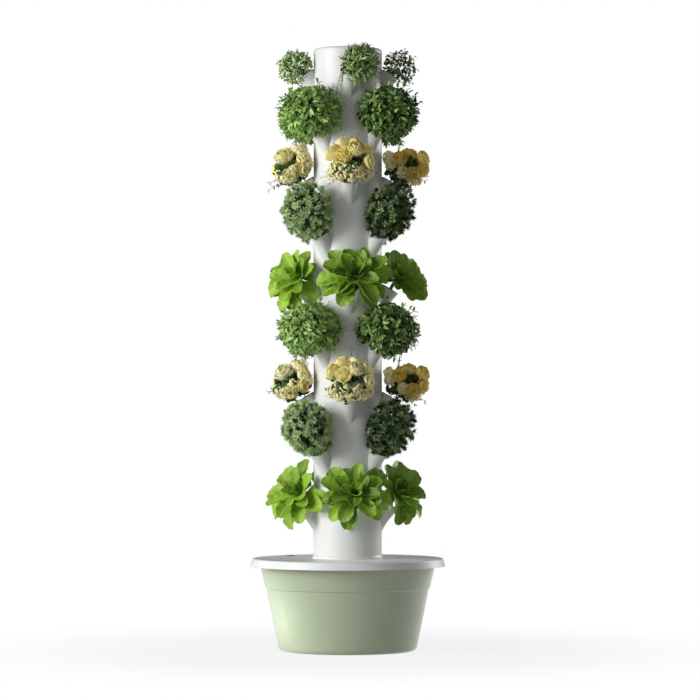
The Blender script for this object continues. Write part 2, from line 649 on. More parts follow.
def spread_ways(count, rng, jitter=0.15):
    """Directions spread evenly over a sphere, a little shaken."""
    height = 1 - 2 * (np.arange(count) + 0.5) / count
    turn = np.arange(count) * GOLDEN_TURN
    flat = np.sqrt(1 - height ** 2)
    ways = np.stack((flat * np.cos(turn), flat * np.sin(turn), height), axis=1)
    return unit(ways + rng.normal(0, jitter, ways.shape))


def arch(foot, tip, rise, steps):
    """Points of a stem that leaves its foot along the rise and bends over to its tip."""
    t = np.linspace(0, 1, steps)[:, None]
    return (1 - t) ** 2 * foot + 2 * t * (1 - t) * (foot + rise) + t ** 2 * tip


def port_matrix(places, tier, turn):
    """The frame of a port's mouth: X to the side, Y outwards, Z up, and its middle as origin."""
    angle = math.radians(turn) + places.heading
    out = np.array((math.sin(angle), -math.cos(angle), 0))
    port = np.eye(4)
    port[:3, 0], port[:3, 1], port[:3, 2] = (math.cos(angle), math.sin(angle), 0), out, UP
    port[:3, 3] = out * places.mouth_reach + UP * (places.first_mouth + (tier - 1) * places.tier_pitch)
    return port


def port_axis(places):
    """The way that a port points, in the frame of its mouth."""
    return np.array((0, math.sin(places.port_tilt), math.cos(places.port_tilt)))


def keep_clear(places):
    """A test that tells which points of a plant are clear of the column and of its own port."""
    rim_height = 0.004
    axis = port_axis(places)

    def clear(points):
        from_axis = np.hypot(points[..., 0], points[..., 1] + places.mouth_reach)
        height = points @ axis
        aside = np.linalg.norm(points - height[..., None] * axis, axis=-1)
        in_port = (height < rim_height) & (aside < places.port_radius + places.leaf_gap)
        return (from_axis > places.column_radius + places.leaf_gap) & ~in_port

    return clear


def stem_feet(places, count, rng, spread=0.011, sunk=0.003):
    """Points on the top of the plug where stems come up, and the way that they start."""
    axis = port_axis(places)
    turn, reach = rng.uniform(0, 2 * math.pi, count), spread * np.sqrt(rng.uniform(0, 1, count))
    side_a = np.array((1.0, 0, 0))
    side_b = np.cross(axis, side_a)
    feet = reach[:, None] * (np.cos(turn)[:, None] * side_a + np.sin(turn)[:, None] * side_b)
    return feet - sunk * axis, axis


def plant_tiers(tiers, kind, node, grow, materials, angle=50):
    """Grows a plant in every port of the tiers, and lets it stand for the tier's solid."""
    places = bpy.context.scene.tower_places
    for tier in tiers:
        for number, (side, turn) in enumerate(ODD_PORTS if tier % 2 else EVEN_PORTS):
            rng = np.random.default_rng(1000 * tier + number)
            crop = grow(places, rng, side)
            plant = crop.make(f"{kind}_tier_{tier}_{side}", port_matrix(places, tier, turn), materials, angle)
            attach(plant, "tower")
            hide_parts(f"{node}_tier_{tier}")


def paint(names, material):
    """Gives CAD nodes a finish."""
    for name in names:
        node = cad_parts[name]
        node.data.materials.clear()
        node.data.materials.append(material)


class TOWER_OT_finish_reservoir(bpy.types.Operator):
    """Gives the basin, the lid, the hatch and their small pieces their finishes"""

    bl_idname = "tower.finish_reservoir"
    bl_label = "Finish reservoir"

    def execute(self, context):
        look = context.scene.tower_shell
        paint(["reservoir_basin"],
              moulded_plastic("sage_polypropylene", look.sage, look.sage_shade,
                              roughness=0.44, grain=0.0016, depth=0.00012, gloss=0.8))
        paint(["reservoir_lid", "refill_hatch"],
              moulded_plastic("white_lid_plastic", look.white, look.white_shade,
                              roughness=0.40, grain=0.0016, depth=0.00010))
        paint(["hatch_hinge_pin"], drawn_steel())
        paint(["cord_grommet"],
              moulded_plastic("grommet_rubber", linear("#8E9090"), linear("#858787"),
                              roughness=0.75, grain=0.0008, depth=0.00015))
        return {"FINISHED"}


class TOWER_OT_finish_tower(bpy.types.Operator):
    """Gives the column, the cap, the net cups and the plugs their finishes"""

    bl_idname = "tower.finish_tower"
    bl_label = "Finish tower"

    def execute(self, context):
        look = context.scene.tower_shell
        paint(["tower_pedestal", "top_cap"] + [f"tower_section_{tier}" for tier in TIERS],
              moulded_plastic("white_tower_plastic", look.white, look.white_shade,
                              roughness=0.42, grain=0.0016, depth=0.00010))
        paint([f"net_cups_tier_{tier}" for tier in TIERS],
              moulded_plastic("black_cup_plastic", look.black, linear("#2A2C2D"),
                              roughness=0.5, grain=0.0012, depth=0.0001))
        paint([f"grow_plugs_tier_{tier}" for tier in TIERS], coir_fibre(look))
        return {"FINISHED"}


class TOWER_OT_finish_pump(bpy.types.Operator):
    """Gives the pump and the riser their finishes"""

    bl_idname = "tower.finish_pump"
    bl_label = "Finish pump and riser"

    def execute(self, context):
        look = context.scene.tower_shell
        paint(["pump_housing", "volute_cover", "intake_strainer"],
              moulded_plastic("black_pump_plastic", look.black, linear("#27292B"),
                              roughness=0.46, grain=0.0012, depth=0.0001))
        paint(["pump_rotor"],
              moulded_plastic("white_rotor_plastic", linear("#DAD8D0"), linear("#CFCDC5"),
                              roughness=0.5, grain=0.001, depth=0.0001))
        paint(["rotor_shaft"],
              moulded_plastic("ceramic_shaft", linear("#E4E0D6"), linear("#DAD6CB"),
                              roughness=0.25, grain=0.0006, depth=0.00002))
        paint(["flow_dial"],
              moulded_plastic("grey_dial_plastic", linear("#5B6064"), linear("#54585C"),
                              roughness=0.5, grain=0.001, depth=0.0001))
        paint(["pump_feet"],
              moulded_plastic("grey_suction_rubber", linear("#4A4D50"), linear("#414447"),
                              roughness=0.7, grain=0.001, depth=0.0001))
        paint(["riser_pipe_lower", "riser_pipe_middle", "riser_pipe_upper", "riser_couplers", "drip_head"],
              moulded_plastic("white_pipe_plastic", linear("#ECECE8"), linear("#E2E3DF"),
                              roughness=0.35, grain=0.0014, depth=0.00005))
        return {"FINISHED"}


def shake_tones(rng, tone, spread, count):
    """Tones about a middle one, from 0 for old and dark to 1 for young and pale."""
    return np.clip(rng.normal(tone, spread, count), 0, 1)


def shell_leaves(rng, count, middle, radii, depth, length, lift, fall):
    """Places for leaves that cover an egg shape like shingles, with a few knobs that make it uneven.
    Each starts between two depths, given as shares of the radii, stands off the surface by its lift
    and hangs by its fall."""
    hollow, knob_count, knob_height, knob_power = 0.94, 11, 0.12, 8
    sideways, unrest, sizes = 0.5, 0.3, (0.7, 1.1)
    ways = spread_ways(count, rng, jitter=0.06)
    knobs = spread_ways(knob_count, np.random.default_rng(len(ways)), jitter=0.4)
    swell = hollow + knob_height * ((ways @ knobs.T) ** knob_power).max(axis=1, keepdims=True)
    at = middle + ways * radii * swell * rng.uniform(*depth, (count, 1))
    aside = unit(np.cross(ways, rng.normal(0, 1, ways.shape)))
    along = ways * lift + aside * sideways - UP * fall
    facing = ways + rng.normal(0, unrest, ways.shape)
    return place_copies(at, along, facing, length * rng.uniform(*sizes, count))


def add_sprig(crop, path, leaf, twig, length, rng, bare, clear, slots=(0, 1)):
    """A stem along a path, with leaves in pairs that cross from joint to joint beyond its bare steps.
    The slots are those of the materials of its leaves and of its stem."""
    opening, tilt, sizes = 0.7, 0.5, (0.6, 1)
    crop.add(twig, place_twigs(path), rng.uniform(0, 1, len(path) - 1), slots[1])
    spots = np.repeat(path[bare:], 2, axis=0)
    ahead = np.repeat(unit(path[bare:] - path[bare - 1:-1]), 2, axis=0)
    number = np.arange(len(spots))
    swing = number * math.pi + number // 2 * math.pi / 2 + rng.uniform(0, 3)
    side_a = unit(np.cross(ahead, (0.2, 0.1, 0.95)))
    out = np.cos(swing)[:, None] * side_a + np.sin(swing)[:, None] * np.cross(ahead, side_a)
    leaves = place_copies(spots, out * opening + ahead, UP + ahead * tilt,
                          length * rng.uniform(*sizes, len(spots)))
    tones, bends = rng.uniform(0.2, 1, len(spots)), rng.uniform(0, 0.8, len(spots))
    crop.add(leaf, leaves, tones, slots[0], bends, clear)


def leafy_plant(places, rng, side, middle, radii, leaf, twig, length, counts, sprigs, lift=0.45, fall=0.4,
                droop=0.4):
    """A dense plant: leaves over its surface, darker ones below them, and sprigs that stand out of it."""
    crop, clear = Crop(), keep_clear(places)
    for count, (depth, tone) in zip(counts, LEAF_LAYERS):
        crop.add(leaf, shell_leaves(rng, count, middle, radii, depth, length, lift, fall),
                 shake_tones(rng, tone + SUNNY[side], 0.25, count), 0,
                 rng.uniform(-0.5, 0.5, count) + droop, clear)
    # Points of a sprig's path, those near the port and those without leaves; how far it rises from the
    # port, how far beyond the surface it ends, and the share of a full leaf's length
    steps, inside, bare = 12, 5, 8
    rise, beyond, young = 0.6, (1.05, 1.22), 0.8
    feet, axis = stem_feet(places, sprigs, rng)
    for way, foot in zip(spread_ways(sprigs, rng), feet):
        tip = middle + way * radii * rng.uniform(*beyond)
        path = arch(foot, tip, axis * rise * np.linalg.norm(middle), steps)
        if clear(path[inside:]).all():
            add_sprig(crop, path, leaf, twig, length * young, rng, bare, clear)
    return crop


class TOWER_OT_plant_lettuces(bpy.types.Operator):
    """Plants a lettuce in every port of its tiers"""

    bl_idname = "tower.plant_lettuces"
    bl_label = "Plant lettuces"

    # Width of a leaf from foot to tip, as shares of its greatest width
    outline = (0.13, 0.15, 0.24, 0.46, 0.70, 0.88, 0.98, 1.0, 0.93, 0.72, 0.34)
    # Rings of leaves from the outside in: number, opening in degrees, share of the full length, tone
    rings = ((9, 84, 1.0, 0.5), (8, 62, 0.92, 0.4), (6, 40, 0.78, 0.25), (5, 18, 0.56, 0.2),
             (4, 6, 0.34, 0.0))
    # Turn of the rosette from straight out, in degrees: on the left and right it is turned to the front
    turns = {"left": 52, "right": -60, "front": 0, "back": 12}
    # Added to the tone of the leaves
    suns = {"left": 0.5, "right": 0.45, "front": 0.02, "back": 0.0}
    # Shares of its length at which a leaf is tried until it has room
    tries = (1.0, 0.8, 0.62, 0.45)
    # How far to the side the heart stands, on the mean and either way
    heart_side, heart_shake = 0.013, 0.004
    # How much the leaves of a ring differ in turn, in opening in degrees, in length and width, in the
    # way that they face and in tone
    turn_shake, open_shake = 0.14, 6
    lengths, widths = (0.86, 1.10), (0.85, 1.12)
    facing_shake, tone_shake = 0.22, 0.32
    # Bend of a leaf in radians, and how much more it bends the further it lies below a slope
    bends, sag_bend, sag_slope = (0.0, 0.7), 0.45, 0.35
    # How far a leaf faces inwards, and how far its foot is from the rosette's axis
    inwards, foot_reach = 0.5, 0.003
    # How far the stalk rises along the axis, and the points of its path
    stalk_rise, stalk_points = 0.012, 6

    def execute(self, context):
        look = context.scene.tower_lettuce
        ratio = look.leaf_width / look.leaf_length
        leaf = Shape(model_blade(length=1, width=ratio, outline=self.outline, fold=0.11, droop=0.0,
                                 thickness=0.012, columns=4, ruffle=0.065, levels=1))
        twig = Shape(model_twig(width=0.010))

        def grow(places, rng, side):
            crop, clear = Crop(), keep_clear(places)
            side_step = rng.normal(self.heart_side, self.heart_shake)
            heart = np.array((side_step, look.heart_out, look.heart_up))
            turn = math.radians(self.turns[side])
            out = np.array((math.sin(turn), math.cos(turn), 0))
            axis = out * math.sin(look.lean) + UP * math.cos(look.lean)
            right = unit(np.cross(out, UP))
            top = np.cross(right, axis)
            for count, open_by, share, tone in self.rings:
                number = np.arange(count) + rng.uniform(0, 1)
                turn = number * 2 * math.pi / count + rng.normal(0, self.turn_shake, count)
                lean = np.radians(open_by + rng.normal(0, self.open_shake, count))[:, None]
                radial = np.cos(turn)[:, None] * right + np.sin(turn)[:, None] * top
                along = np.cos(lean) * axis + np.sin(lean) * radial
                size = look.leaf_length * share * rng.uniform(*self.lengths, count)
                scale = np.stack((size * rng.uniform(*self.widths, count), size, size), axis=1)
                sag = np.clip(self.sag_slope - along[:, 2], 0, 1)
                facing = axis - radial * self.inwards + rng.normal(0, self.facing_shake, along.shape)
                tones = shake_tones(rng, tone + self.suns[side], self.tone_shake, count)
                bends = rng.uniform(*self.bends, count) + self.sag_bend * sag
                feet = heart + radial * self.foot_reach
                left = np.full(count, True)
                for short in self.tries:
                    tried = place_copies(feet[left], along[left], facing[left], short * scale[left])
                    left[left] = ~crop.add(leaf, tried, tones[left], 0, bends[left], clear)
            stalk = place_twigs(arch(MOUTH, heart, axis * self.stalk_rise, self.stalk_points))
            crop.add(twig, stalk, np.zeros(len(stalk)), 0)
            return crop

        plant_tiers((1, 5), "lettuce", "lettuces", grow, [lettuce_tissue(look)], angle=60)
        return {"FINISHED"}


class TOWER_OT_plant_domes(bpy.types.Operator):
    """Plants a fine-leaved dome in every port of its tiers"""

    bl_idname = "tower.plant_domes"
    bl_label = "Plant fine-leaved domes"

    # Width and thickness of a narrow leaf, as shares of its length
    leaf_width = 0.32
    leaf_thickness = 0.14
    # Size of the dark inner tufts' egg, as a share of the outer one's
    inner_share = 0.76
    # Tones of the tufts on the foot, inside and outside, and how much of the sunny side's tone is added
    neck_tone, inner_tone, outer_tone = 0.4, 0.0, 0.6
    sun_share = 1.5
    # How far out a tuft starts, as a share of the egg, and how much its leaves point outwards, differ in
    # their way, in length and in tone
    tuft_depth = (0.84, 1.0)
    outwards, way_shake, lengths, tone_shake = 0.6, 0.6, (0.6, 1.1), 0.25
    # One outer tuft in so many has a stem: its tone, how far it rises from the port, the points of its
    # path, and those of them that are in the port
    stem_every = 4
    stem_tone, stem_rise, stem_points, stem_inside = 0.1, 0.045, 9, 4

    def execute(self, context):
        look = context.scene.tower_dome
        needle = Shape(model_needle(length=1, width=1))
        twig = Shape(model_twig(width=0.0016))
        middle = np.array((0, look.middle_out, look.middle_up))
        neck = np.array((0, look.neck_out, look.neck_up))
        lean = unit(middle)

        def tufts(crop, rng, count, egg, tone, clear):
            """Adds tufts of narrow leaves over an egg, given as its middle, half width and half length."""
            core, half_width, half_length = egg
            ways = spread_ways(count, rng)
            reach = ways + lean * (ways @ lean)[:, None] * (half_length / half_width - 1)
            tips = core + reach * half_width * rng.uniform(*self.tuft_depth, (count, 1))
            at, ways = np.repeat(tips, look.needles, axis=0), np.repeat(ways, look.needles, axis=0)
            along = self.outwards * ways + rng.normal(0, self.way_shake, ways.shape)
            length = look.needle_length * rng.uniform(*self.lengths, len(at))
            scale = np.stack((length * self.leaf_width, length, length * self.leaf_thickness), axis=1)
            tones = np.repeat(shake_tones(rng, tone, self.tone_shake, count), look.needles)
            crop.add(needle, place_copies(at, along, ways, scale), tones, 0, None, clear)
            return tips

        def grow(places, rng, side):
            crop, clear = Crop(), keep_clear(places)
            sun = self.sun_share * SUNNY[side]
            foot_egg = (neck, look.neck_reach, look.neck_reach)
            inner_egg = (middle, look.half_width * self.inner_share, look.half_length * self.inner_share)
            outer_egg = (middle, look.half_width, look.half_length)
            tufts(crop, rng, look.tufts // 4, foot_egg, self.neck_tone + sun, clear)
            tufts(crop, rng, look.tufts * 3 // 5, inner_egg, self.inner_tone, clear)
            ends = tufts(crop, rng, look.tufts, outer_egg, self.outer_tone + sun, clear)[::self.stem_every]
            feet, axis = stem_feet(places, len(ends), rng)
            for foot, end in zip(feet, ends):
                path = arch(foot, end, axis * self.stem_rise, self.stem_points)
                if clear(path[self.stem_inside:]).all():
                    stem = place_twigs(path)
                    crop.add(twig, stem, np.full(len(stem), self.stem_tone), 1)
            return crop

        plant_tiers((2, 6), "fine_dome", "fine_domes", grow,
                    [leaf_tissue("grey_needles", look.needle, look.tip, roughness=0.55, tip_colour=look.tip),
                     leaf_tissue("dome_stems", look.needle, linear("#5B5138"), roughness=0.7)], angle=30)
        return {"FINISHED"}


class TOWER_OT_plant_posies(bpy.types.Operator):
    """Plants a flower posy in every port of its tiers"""

    bl_idname = "tower.plant_posies"
    bl_label = "Plant flower posies"

    # Middles of the blooms, to the side, out and up from the mouth, as shares of the posy's reach, with
    # the share of a full bloom's radius
    face = ((-0.85, 0.77, 1.21, 1.15), (-0.37, 0.69, 1.65, 1.0), (0.24, 0.69, 1.65, 0.95),
            (0.77, 0.73, 1.33, 1.0), (0.24, 1.25, 1.33, 1.05), (-0.33, 1.33, 1.06, 1.1),
            (0.88, 1.06, 0.77, 0.9))
    blooms = {
        "front": face,
        "back": face,
        "left": ((0.42, 1.10, 1.22, 1.2), (0.24, 0.44, 1.54, 1.0), (0.60, 0.12, 1.10, 0.95),
                 (0.81, 0.15, 0.56, 0.9), (0.88, 0.77, 0.29, 0.95), (-0.65, 0.65, 1.13, 1.0),
                 (-0.73, 1.29, 0.65, 1.0)),
        "right": ((-0.73, 0.44, 1.06, 1.0), (-0.19, 1.0, 1.37, 1.0), (-0.29, 1.62, 1.17, 1.05),
                  (-0.40, 1.62, 0.60, 1.0), (-0.81, 1.06, 0.33, 1.0), (0.56, 0.65, 1.17, 1.0),
                  (0.65, 1.37, 0.88, 1.0)),
    }
    # Hues of the blooms along the scale from cream to amber
    hues = {"front": (0.2, 0.75), "left": (0.1, 0.6), "right": (0.75, 1.0), "back": (0.2, 0.9)}
    # Homes of the filler flowers, to the side, out and up from the mouth
    low = ((0.0, 0.066, 0.000), (-0.028, 0.058, 0.000), (0.028, 0.060, 0.002), (-0.046, 0.040, 0.010),
           (0.044, 0.042, 0.008), (0.016, 0.072, 0.022), (-0.014, 0.070, 0.020), (-0.040, 0.054, 0.026),
           (0.040, 0.056, 0.024))
    homes = {
        "front": low,
        "back": low,
        "left": ((0.038, 0.006, 0.062), (0.030, 0.010, 0.082), (0.040, -0.004, 0.046),
                 (0.034, 0.052, 0.010), (0.020, 0.066, 0.012), (0.046, 0.030, 0.030)),
        "right": ((-0.036, -0.004, 0.062), (-0.040, 0.000, 0.044), (-0.034, 0.056, 0.004),
                  (-0.044, 0.030, 0.022), (-0.020, 0.066, 0.006)),
    }
    # Sprigs with filler flowers, and leafy ones: swing from straight out in degrees, half the width of
    # the arc that their tips are on, how far out its middle is, and its depth
    flower_swings, flower_arc = (-85, -60, 55, 85), (0.070, 0.030, 0.035)
    leafy_swings, leafy_arc = (-50, -15, 20, 50), (0.080, 0.022, 0.072)
    # Height of those tips, and how far to the side, out and up the upright sprigs end
    tip_height = 0.006
    upright_ends, upright_out, upright_height = (-0.016, 0.004, 0.020), 0.026, 0.106
    # Ways in which stems leave the mouth: of blooms, of sprigs, and of upright sprigs
    bloom_rise = np.array((0, 0.012, 0.022))
    sprig_rise = np.array((0, 0.020, 0.030))
    upright_rise = np.array((0, 0.020, 0.050))
    # Places of the materials in a posy's list of them
    petal_slot, floret_slot, leaf_slot, sprig_slot = range(4)

    def execute(self, context):
        look = context.scene.tower_posy
        petal = Shape(model_blade(length=1, width=0.86, outline=(0.30, 0.62, 0.92, 1.0, 0.70), fold=0.20,
                                  droop=0.0, thickness=0.03, columns=4, ruffle=0.03))
        floret = Shape(model_floret(look.floret_radius), round_it=True)
        leaf = Shape(model_blade(length=1, width=0.52, outline=(0, 0.75, 1.0, 0.7, 0), fold=0.10,
                                 droop=0.12, thickness=0.016))
        twig = Shape(model_twig(width=0.0022))
        fine_twig = Shape(model_twig(width=0.0010))
        middle = np.array((0, look.middle_out, look.middle_up))
        radii = np.array((1, 1, 0.85)) * look.reach

        def grow(places, rng, side):
            crop, clear = Crop(), keep_clear(places)
            for x, y, z, size in self.blooms[side]:
                at, size = np.array((x, y, z)) * look.reach, look.bloom_radius * size
                way = unit(at - middle)
                self.add_bloom(crop, petal, rng, at, way, size, rng.uniform(*self.hues[side]), look.petals)
                stem = place_twigs(arch(MOUTH, at - way * size * 0.7, self.bloom_rise, steps=7))
                crop.add(twig, stem, np.full(len(stem), 0.2), self.leaf_slot)
            self.add_florets(crop, floret, rng, clear, np.array(self.homes[side]), middle, look.florets)
            for depth in ((0.72, 0.88), (0.4, 0.6)):
                leaves = shell_leaves(rng, look.leaves, middle, radii, depth, look.leaf_length,
                                      lift=0.2, fall=0.2)
                crop.add(leaf, leaves, rng.uniform(0, 0.8, look.leaves), self.leaf_slot,
                         rng.uniform(0, 0.8, look.leaves), clear)
            self.add_sprigs(crop, floret, leaf, fine_twig, rng, clear)
            return crop

        plant_tiers((3, 7), "posy", "posies", grow,
                    [petal_tissue(look), floret_tissue(look),
                     leaf_tissue("rose_leaves", look.leaf, linear("#4E6E35"), roughness=0.42),
                     leaf_tissue("grey_sprigs", linear("#5F7257"), linear("#93A089"), roughness=0.55)])
        return {"FINISHED"}

    def add_bloom(self, crop, petal, rng, at, way, size, hue, count):
        """Adds a full bloom: petals in a spiral that start below its middle and close over its heart."""
        # Opening of the inmost petal and how much more the outmost opens, in degrees; then the bends of
        # both likewise, in radians
        inmost, opening, opening_curve = 8, 76, 0.85
        inmost_bend, bending = -0.3, -1.1
        # Length of a petal, depth of its foot and its reach from the axis, as shares of the bloom's radius
        petal_share, foot_share, foot_reach = 1.42, 0.8, 0.08
        # How much further towards cream the outmost petal is
        paler = 0.12
        share = (np.arange(count) + 0.5) / count
        turn = np.arange(count) * GOLDEN_TURN + rng.normal(0, 0.12, count)
        side_a = unit(np.cross(way, (0.31, 0.2, 0.9)))
        radial = np.cos(turn)[:, None] * side_a + np.sin(turn)[:, None] * np.cross(way, side_a)
        lean = np.radians(inmost + opening * share ** opening_curve + rng.normal(0, 3, count))[:, None]
        along = np.cos(lean) * way + np.sin(lean) * radial
        length = size * petal_share * rng.uniform(0.94, 1.06, count)
        hues = np.clip(hue + rng.normal(0, 0.05, count) - paler * share, 0, 1)
        feet = at - way * size * foot_share + radial * (foot_reach * size)
        bends = inmost_bend + bending * share + rng.normal(0, 0.1, count)
        crop.add(petal, place_copies(feet, along, way - radial, length), hues, self.petal_slot, bends)

    def add_florets(self, crop, floret, rng, clear, homes, middle, count):
        """Adds filler flowers in puffs round their homes."""
        puff_reach = (0.008, 0.017)
        home = homes[rng.integers(0, len(homes), count)]
        puff = unit(rng.normal(0, 1, home.shape)) * rng.uniform(*puff_reach, (count, 1))
        spots = home + puff
        ways = unit(unit(puff) + unit(spots - middle))
        sizes, tones = rng.uniform(0.75, 1.15, count), rng.uniform(0, 0.45, count)
        flowers = place_copies(spots, np.cross(ways, (0.3, 0.8, 0.2)), ways, sizes)
        crop.add(floret, flowers, tones, self.floret_slot, None, clear)

    def add_sprigs(self, crop, floret, leaf, twig, rng, clear):
        """Adds fine sprigs: some with filler flowers to both sides, leafy ones to the front, and small
        leafy ones that stand up."""
        floret_share, leaf_length, small_leaf = 0.8, 0.013, 0.009
        flowery, leafy = (self.floret_slot, self.sprig_slot), (self.sprig_slot, self.sprig_slot)
        half_width, out, depth = self.flower_arc
        for swing in np.radians(self.flower_swings):
            side = math.sin(swing) * (half_width * rng.uniform(0.9, 1.1))
            tip = np.array((side, out + depth * math.cos(swing), self.tip_height + 0.01 * rng.normal()))
            path = arch(MOUTH, tip, self.sprig_rise, steps=10)
            add_sprig(crop, path, floret, twig, floret_share, rng, bare=5, clear=clear, slots=flowery)
        half_width, out, depth = self.leafy_arc
        for swing in np.radians(self.leafy_swings):
            side = half_width * math.sin(swing)
            tip = np.array((side, out + depth * math.cos(swing), self.tip_height + 0.012 * rng.normal()))
            path = arch(MOUTH, tip, self.sprig_rise, steps=12)
            add_sprig(crop, path, leaf, twig, leaf_length, rng, bare=7, clear=clear, slots=leafy)
        for side in self.upright_ends:
            tip = np.array((side, self.upright_out, self.upright_height + 0.008 * rng.normal()))
            path = arch(MOUTH, tip, self.upright_rise, steps=12)
            add_sprig(crop, path, leaf, twig, small_leaf, rng, bare=8, clear=clear, slots=leafy)


class TOWER_OT_plant_bushes(bpy.types.Operator):
    """Plants a leafy herb bush in every port of its tiers"""

    bl_idname = "tower.plant_bushes"
    bl_label = "Plant leafy bushes"

    def execute(self, context):
        look = context.scene.tower_bush
        leaf = Shape(model_blade(length=1, width=0.40, outline=(0, 0.8, 1.0, 0.66, 0), fold=0.09,
                                 droop=0.10, thickness=0.02))
        twig = Shape(model_twig(width=0.0018))
        middle = np.array((0, look.middle_out, look.middle_up))
        radii = np.array((look.reach, look.reach, look.half_height))

        def grow(places, rng, side):
            return leafy_plant(places, rng, side, middle, radii, leaf, twig, look.leaf_length,
                               (look.leaves, look.leaves // 2), look.sprigs)

        plant_tiers((4, 8), "bush", "bushes", grow,
                    [leaf_tissue("bush_leaves", look.shade_leaf, look.sun_leaf, roughness=0.36),
                     leaf_tissue("bush_stems", linear("#4B5A2B"), linear("#6A7040"), roughness=0.6)])
        return {"FINISHED"}


class TOWER_OT_plant_herbs(bpy.types.Operator):
    """Plants small herbs in the ports of the top tier"""

    bl_idname = "tower.plant_herbs"
    bl_label = "Plant top herbs"

    # Dense herb in the front and back ports: how far it is moved from its middle, its radii and sprigs
    dense_shift = np.array((0.027, 0.004, -0.013))
    dense_radii = np.array((0.038, 0.036, 0.042))
    dense_sprigs = 10
    # Its hanging sprigs: where they start, the way that they leave, how far to the side, with its spread,
    # and how far out and down they end, and the share of a round leaf's length
    hang_foot = np.array((-0.006, 0.004, 0))
    hang_rise = np.array((-0.012, 0.040, 0.020))
    hang_side, hang_out, hang_drops = (-0.022, 0.006), 0.040, (0.040, 0.058, 0.074)
    hang_leaf = 0.7
    # Airy herb in the other ports: share of the leaves, and of those the share inside, how far it is
    # lowered, and share of the reach
    airy_leaves, airy_inside = {"right": 0.5, "left": 0.85}, 0.4
    airy_drop, airy_reach = 0.008, 1.06

    def execute(self, context):
        look = context.scene.tower_herb
        round_leaf = Shape(model_blade(length=1, width=0.60, outline=(0, 0.85, 1.0, 0.75, 0), fold=0.12,
                                       droop=0.06, thickness=0.03))
        long_leaf = Shape(model_blade(length=1, width=0.20, outline=(0, 0.75, 1.0, 0.7, 0), fold=0.05,
                                      droop=0.06, thickness=0.016))
        twig = Shape(model_twig(width=0.0012))
        middle = np.array((0, look.middle_out, look.middle_up))

        def grow_dense(places, rng, side):
            crop = leafy_plant(places, rng, side, middle + self.dense_shift, self.dense_radii, long_leaf,
                               twig, look.long_leaf, (look.leaves, look.leaves // 2), self.dense_sprigs,
                               lift=0.9, fall=-0.15, droop=1.1)
            length = look.round_leaf * self.hang_leaf
            for drop in self.hang_drops:
                tip = np.array((rng.normal(*self.hang_side), self.hang_out, -drop))
                path = arch(self.hang_foot, tip, self.hang_rise, steps=14)
                add_sprig(crop, path, round_leaf, twig, length, rng, bare=7, clear=keep_clear(places))
            return crop

        def grow_airy(places, rng, side):
            leaves = look.leaves * self.airy_leaves[side]
            return leafy_plant(places, rng, side, middle - UP * self.airy_drop,
                               np.full(3, look.reach * self.airy_reach), round_leaf, twig, look.round_leaf,
                               (int(leaves), int(leaves * self.airy_inside)), look.sprigs, lift=0.7, fall=0.1)

        def grow(places, rng, side):
            if side in self.airy_leaves:
                return grow_airy(places, rng, side)
            return grow_dense(places, rng, side)

        plant_tiers((9,), "herb", "herbs", grow,
                    [leaf_tissue("herb_leaves", look.shade_leaf, look.sun_leaf, roughness=0.42),
                     leaf_tissue("herb_stems", linear("#4A5030"), linear("#6B6A45"), roughness=0.6)])
        return {"FINISHED"}


